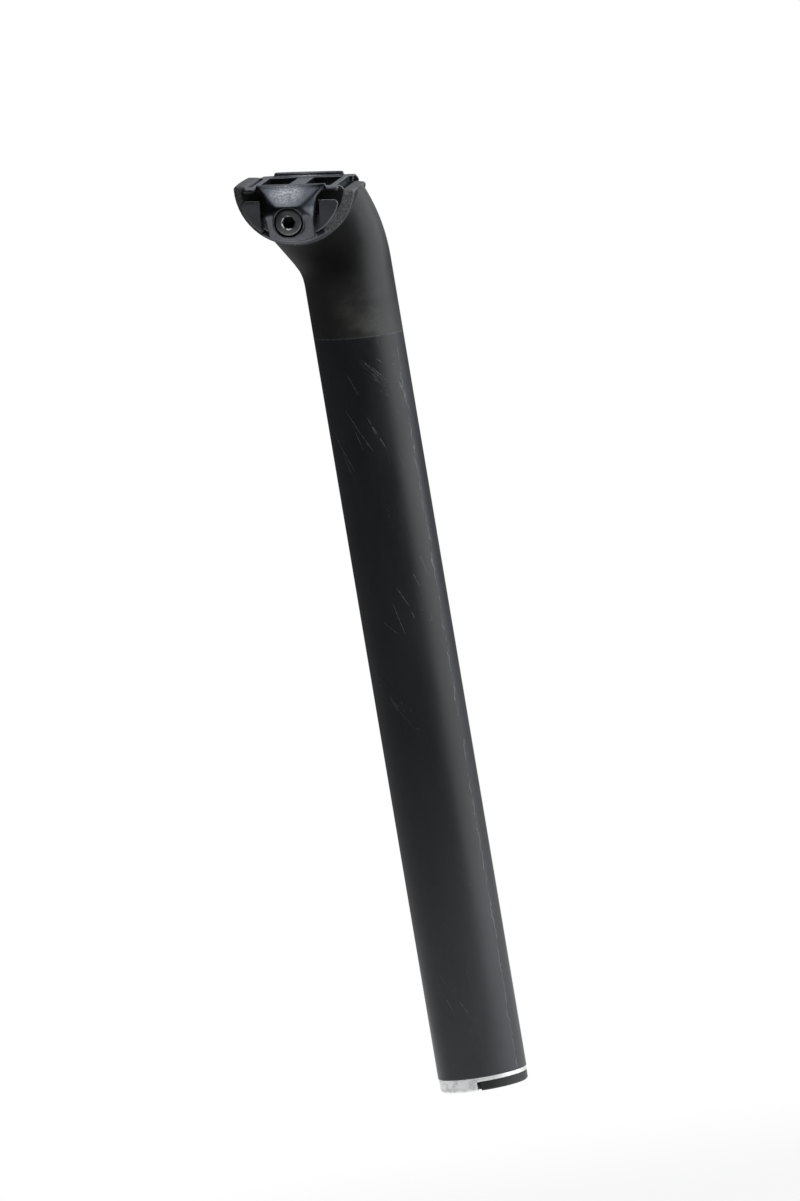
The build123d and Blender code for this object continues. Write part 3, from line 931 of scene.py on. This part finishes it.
@dataclass
class ClampScrew:
    """The low-head socket screw across the clamp, with its washer and nut."""

    columns: int = 96
    sharp: float = 30.0
    head_radius: float = 4.85 * MM
    head_height: float = 4.0 * MM
    head_round: float = 0.8 * MM
    head_rings: int = 6
    edge_break: float = 0.15 * MM
    key_half: float = 2.0 * MM
    key_depth: float = 2.6 * MM
    key_lead: float = 0.45 * MM
    key_rim: float = 2.55 * MM
    key_break: float = 0.12 * MM
    drill_cone: float = 0.7 * MM
    drill_tip: float = 0.2 * MM
    shank_radius: float = 2.95 * MM
    shank_start: float = 0.2 * MM
    pitch: float = 1.0 * MM
    rings_per_turn: int = 8
    thread_depth: float = 0.42 * MM
    thread_length: float = 14.0 * MM
    thread_run: float = 0.5 * MM
    tip_length: float = 0.5 * MM
    tip_cut: float = 0.7 * MM
    nut_half: float = 4.95 * MM
    nut_rings: int = 5
    nut_chamfer: float = 0.7 * MM
    nut_slope: float = 30.0
    nut_bore: float = 3.1 * MM
    bore_lead: float = 0.35 * MM

    def turns(self) -> Array:
        """Gives the columns' turns from the first one."""
        return np.linspace(0.0, 2.0 * np.pi, self.columns, endpoint=False)

    def hexagon(self) -> Array:
        """Gives a hexagon's radius over its half width: 1 over the cosine of the angle from the nearest flat."""
        sixth = np.pi / 3.0
        return 1.0 / np.cos(np.mod(self.turns(), sixth) - sixth / 2.0)

    def place(self, depth: Array, radius: Array, face: float, inward: float) -> Array:
        """Lays rings about the screw's axis, with the first column in line with the rails.

        Args:
            depth: How far each point lies inward of the face.
            radius: Its distance from the axis.
            face: Where the face is on Y.
            inward: 1 or -1, the way along Y that leads into the clamp.

        Returns:
            The points, by rings and columns.
        """
        along = rail_seats()[0]["axis"]
        turn = np.broadcast_to(math.atan2(along[2], along[0]) - inward * self.turns(), radius.shape)
        x, z = screw_axis()
        y = face + inward * np.broadcast_to(depth, radius.shape)
        return np.stack((x + radius * np.cos(turn), y, z + radius * np.sin(turn)), axis=-1)

    def screw(self) -> Mesh:
        """Makes the screw: rings from the socket's floor out over the head and down the shank.

        The socket's wall is a hexagon, its rim a circle and the head's edge a quarter circle. The thread's radius
        falls by a triangle wave of the depth over the pitch, less the angle's share of a turn.

        Returns:
            The screw's mesh.
        """
        low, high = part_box("clamp_bolt")
        length = high[1] - low[1]
        bend = np.linspace(0.0, np.pi / 2.0, self.head_rings)
        depth = np.concatenate(
            (
                [self.key_depth + self.drill_cone, self.key_depth, self.key_lead, self.key_break, 0.0],
                self.head_round * (1.0 - np.cos(bend)),
                [self.head_height - self.edge_break, self.head_height, self.head_height],
            )
        )
        circle = np.concatenate(
            (
                [self.drill_tip, 0.0, 0.0, self.key_rim - self.key_break, self.key_rim],
                self.head_radius - self.head_round * (1.0 - np.sin(bend)),
                [self.head_radius, self.head_radius - self.edge_break, self.shank_radius],
            )
        )
        hexed = np.zeros(depth.shape)
        hexed[1:3] = self.key_half
        head = circle[:, None] + hexed[:, None] * self.hexagon()
        start = length - self.thread_length
        thread = np.arange(start, length - self.tip_length, self.pitch / self.rings_per_turn)
        along = np.concatenate(([self.head_height + self.shank_start, start - self.thread_run], thread))
        wave = np.mod(along[:, None] / self.pitch - np.arange(self.columns) / self.columns, 1.0)
        cut = self.thread_depth * (1.0 - np.abs(2.0 * wave - 1.0)) * (along[:, None] >= start)
        tip = np.full((1, self.columns), self.shank_radius - self.tip_cut)
        radius = np.concatenate((head, self.shank_radius - cut, tip))
        deep = np.concatenate((depth, along, [length]))[:, None]
        return ringed("clamp_screw", self.place(deep, radius, low[1], 1.0), self.sharp)

    def nut(self) -> Mesh:
        """Makes the nut: the lesser of a hexagon and a cone at each end, closed round through a plain bore.

        Returns:
            The nut's mesh.
        """
        low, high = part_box("clamp_nut")
        thick = high[1] - low[1]
        rise = np.linspace(0.0, self.nut_chamfer, self.nut_rings)
        cone = np.concatenate((rise, rise[::-1])) / math.tan(math.radians(self.nut_slope))
        outside = np.minimum(self.nut_half * self.hexagon(), (cone + self.nut_half - self.edge_break)[:, None])
        inside = self.nut_bore + self.bore_lead * np.array([1.0, 0.0, 0.0, 1.0])
        bore_depth = [thick, thick - self.bore_lead, self.bore_lead, 0.0]
        deep = np.concatenate((rise, thick - rise[::-1], bore_depth))[:, None]
        radius = np.concatenate((outside, np.repeat(inside[:, None], self.columns, axis=1)))
        return ringed("clamp_hex_nut", self.place(deep, radius, high[1], -1.0), self.sharp, looped=True)

    def build(self) -> None:
        """Puts the screw and the nut in the place of their plain solids, and gives the washer the same finish."""
        x, z = screw_axis()
        steel = BlackOxideSteel(axis_point=Vector((x, 0.0, z)))
        stand_for("clamp_bolt", self.screw(), steel)
        stand_for("clamp_nut", self.nut(), steel)
        give("bolt_washer", steel)


@dataclass
class SaddleClamp:
    """The machined cradle, the two plates, forged with soft edges, and the screw that holds them."""

    quad: float = 0.22 * MM
    passes: int = 60
    bore_edges: Pair = (6.0 * MM, 7.4 * MM)
    bore_share: float = 0.2
    face_edges: Pair = (24.0 * MM, 26.5 * MM)
    jaw_share: float = 0.12
    face_share: float = 0.5
    dish_depth: float = 0.8 * MM
    dish_rise: float = 10.3 * MM
    highlight_rise: float = 9.6 * MM
    dish_half: float = 6.5 * MM
    dish_tall: float = 3.6 * MM
    crown_depth: float = 2.3 * MM
    crown_half: float = 12.3 * MM
    crown_most: float = 1.2
    crown_edges: Pair = (21.0 * MM, 25.0 * MM)
    coarse_rise: float = -1.5 * MM
    cradle_round: float = 0.3 * MM
    screw: ClampScrew = field(default_factory=ClampScrew)

    def ease(self, points: Array) -> Array:
        """Keeps the jaw and what is machined round the screw crisp and lets a plate's outer face soften.

        Args:
            points: The plate's points.

        Returns:
            The jaw's share inside, rising to the face's outside, and a part of either near the screw's axis.
        """
        x, z = screw_axis()
        off = np.hypot(points[:, 0] - x, points[:, 2] - z)
        share = np.interp(np.abs(points[:, 1]), self.face_edges, (self.jaw_share, self.face_share))
        return share * np.interp(off, self.bore_edges, (self.bore_share * self.jaw_share, 1.0))

    def crown(self, points: Array) -> Array:
        """Crowns a plate's outer face and dishes its upper facet.

        The shift is inwards along Y, by the crown's depth times the square of the distance from the screw's upright
        plane over the crown's half width, plus the dish's depth times a bell round a point above the screw. It grows
        smoothly from nothing on the plate's inner side.

        Args:
            points: The plate's points.

        Returns:
            Their shifts.
        """
        x, z = screw_axis()
        across = points[:, 0] - x
        rise = points[:, 2] - z - self.dish_rise
        share = np.interp(np.abs(points[:, 1]), self.crown_edges, (0.0, 1.0))
        share = share * share * (3.0 - 2.0 * share)
        bell = np.exp(-((across / self.dish_half) ** 2) - (rise / self.dish_tall) ** 2)
        bow = np.minimum((across / self.crown_half) ** 2, self.crown_most)
        shift = np.zeros(points.shape)
        shift[:, 1] = -np.sign(points[:, 1]) * (self.crown_depth * bow + self.dish_depth * bell) * share
        return shift

    def build(self) -> None:
        """Rounds the cradle, softens the plates and adds the screw."""
        x, z = screw_axis()
        # Places: where the coarse grain starts, and the point above the screw that centres the plates' painted
        # highlight.
        places = (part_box("clamp_bolt")[1][2] + self.coarse_rise, x, z + self.highlight_rise)
        anodise = BlastedAnodise(*places)
        rounded("cradle", SatinAnodise(*places), self.cradle_round)
        for node in ("clamp_plate_right", "clamp_plate_left"):
            forged(node, anodise, self.quad, self.passes, self.ease, self.crown)
        self.screw.build()


@dataclass
class Lamp:
    """One softbox, placed by its direction as the camera sees it."""

    name: str
    right: float
    up: float
    distance: float
    width: float
    height: float
    watts: float
    colour: Colour = WHITE


@dataclass
class Studio:
    """Floor, white surroundings, softboxes and the camera at the photograph's angle."""

    azimuth: float = CAMERA_AZIMUTH
    elevation: float = 5.8
    roll: float = 9.541
    view_height: float = 423.3 * MM
    aside: float = -1.1 * MM
    aim_up: float = 168.9 * MM
    distance: float = 7.0
    sensor: float = 36.0
    farthest: float = 200.0
    floor_drop: float = 120.0 * MM
    floor_half: float = 40.0
    card_drop: float = 25.0 * MM
    card_reach: float = 1.3
    card_corners: int = 48
    room_dim: float = 0.018
    room_bright: float = 1.0
    room_fill: float = 0.08
    room_tinge: Colour = (0.90, 0.95, 1.0)
    bright_side: Pair = (140.0, 12.0)
    bright_edge: Pair = (0.62, 0.95)
    lamps: tuple[Lamp, ...] = (
        Lamp("key_softbox", 82.0, 14.0, 1.0, 1.25, 1.1, 10.0, (0.94, 0.97, 1.0)),
        Lamp("top_softbox", -28.0, 86.0, 1.2, 0.55, 0.55, 5.4),
    )

    def toward(self, right: float, up: float) -> Vector:
        """Gives the unit direction from the object, in degrees right of the camera and above the horizon."""
        a, e = math.radians(self.azimuth + right), math.radians(up)
        return Vector((math.sin(a) * math.cos(e), -math.cos(a) * math.cos(e), math.sin(e)))

    def camera(self) -> None:
        """Makes a long-lens camera, rolled as the post leans in the picture."""
        a, e = math.radians(self.azimuth), math.radians(self.elevation)
        x = self.aside / math.cos(a)
        z = (self.aim_up + x * math.sin(a) * math.sin(e)) / math.cos(e)
        data = bpy.data.cameras.new("camera")
        data.sensor_width = self.sensor
        data.lens = self.sensor * self.distance / self.view_height
        data.clip_end = self.farthest
        made = shown("camera", data)
        back = self.toward(0.0, self.elevation)
        facing = (-back).to_track_quat("-Z", "Y").to_matrix().to_4x4()
        facing = facing @ Matrix.Rotation(-math.radians(self.roll), 4, "Z")
        made.matrix_world = Matrix.Translation(Vector((x, 0.0, z)) + back * self.distance) @ facing
        bpy.context.scene.camera = made
        log.info("camera: lens %.0f mm", data.lens)

    def light(self) -> None:
        """Hangs the softboxes."""
        middle = Vector((0.0, 0.0, self.aim_up))
        for lamp in self.lamps:
            data = bpy.data.lights.new(lamp.name, "AREA")
            data.shape = "RECTANGLE"
            data.size, data.size_y = lamp.width, lamp.height
            data.energy = lamp.watts
            data.color = lamp.colour
            out = self.toward(lamp.right, lamp.up)
            facing = out.to_track_quat("Z", "Y").to_matrix().to_4x4()
            shown(lamp.name, data).matrix_world = Matrix.Translation(middle + out * lamp.distance) @ facing
            log.info("%s: %.0f W", lamp.name, lamp.watts)

    def surroundings(self) -> None:
        """Makes a white room: gloss shows its bright right side and its dim left side, and the rest is a grey fill."""
        world = bpy.data.worlds.new("studio")
        world.use_nodes = True
        bpy.context.scene.world = world
        bench = Bench(world.node_tree)
        path = bench.add("LightPath")
        way = bench.add("TexCoord")["Generated"]
        side = bench.vector("DOT_PRODUCT", way, self.toward(*self.bright_side))["Value"]
        gloss = bench.ramp(side, *self.bright_edge, self.room_dim, self.room_bright)
        seen = bench.most(path["Is Camera Ray"], path["Is Transmission Ray"])
        strength = bench.blend(path["Is Glossy Ray"], self.room_fill, gloss)
        bench.fill(
            world.node_tree.nodes["Background"],
            Color=bench.tint(seen, self.room_tinge, WHITE),
            Strength=bench.blend(seen, strength, 1.0),
        )

    def sheet(self, name: str, corners: Array, finish: Finish) -> bpy.types.Object:
        """Makes one flat face.

        Args:
            name: The object's name.
            corners: The points round its edge.
            finish: Its finish.

        Returns:
            The object.
        """
        data = bpy.data.meshes.new(name)
        data.from_pydata(corners.tolist(), [], [tuple(range(len(corners)))])
        data.materials.append(finish.material())
        return shown(name, data)

    def floor(self) -> None:
        """Lays a pale floor that takes the object's soft shadow."""
        side, level = self.floor_half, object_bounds()[0].z - self.floor_drop
        corners = np.array([(-side, -side, level), (side, -side, level), (side, side, level), (-side, side, level)])
        made = self.sheet("floor", corners, PalePaper())
        made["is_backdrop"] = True

    def bounce_glow(self) -> None:
        """Lays a white card under the lower end, a circle that only gloss shows: it glows, so it lights the object's
        reflections from below.
        """
        turn = np.linspace(0.0, 2.0 * np.pi, self.card_corners, endpoint=False)
        level = np.full(turn.shape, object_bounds()[0].z - self.card_drop)
        corners = np.stack((self.card_reach * np.cos(turn), self.card_reach * np.sin(turn), level), axis=-1)
        made = self.sheet("table_card", corners, WhiteCard(self.card_reach))
        made.visible_camera = made.visible_diffuse = made.visible_transmission = made.visible_shadow = False
        made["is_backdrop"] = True

    def set_up(self) -> None:
        """Sets up everything round the object."""
        bpy.context.scene.view_settings.view_transform = "Standard"
        self.floor()
        self.bounce_glow()
        self.surroundings()
        self.light()
        self.camera()


def main() -> None:
    """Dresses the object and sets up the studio."""
    logging.basicConfig(level=logging.INFO, format="%(name)s: %(message)s")
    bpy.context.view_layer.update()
    Post().dress()
    EndCap().build()
    SaddleClamp().build()
    Studio().set_up()


if __name__ == "__main__":
    main()
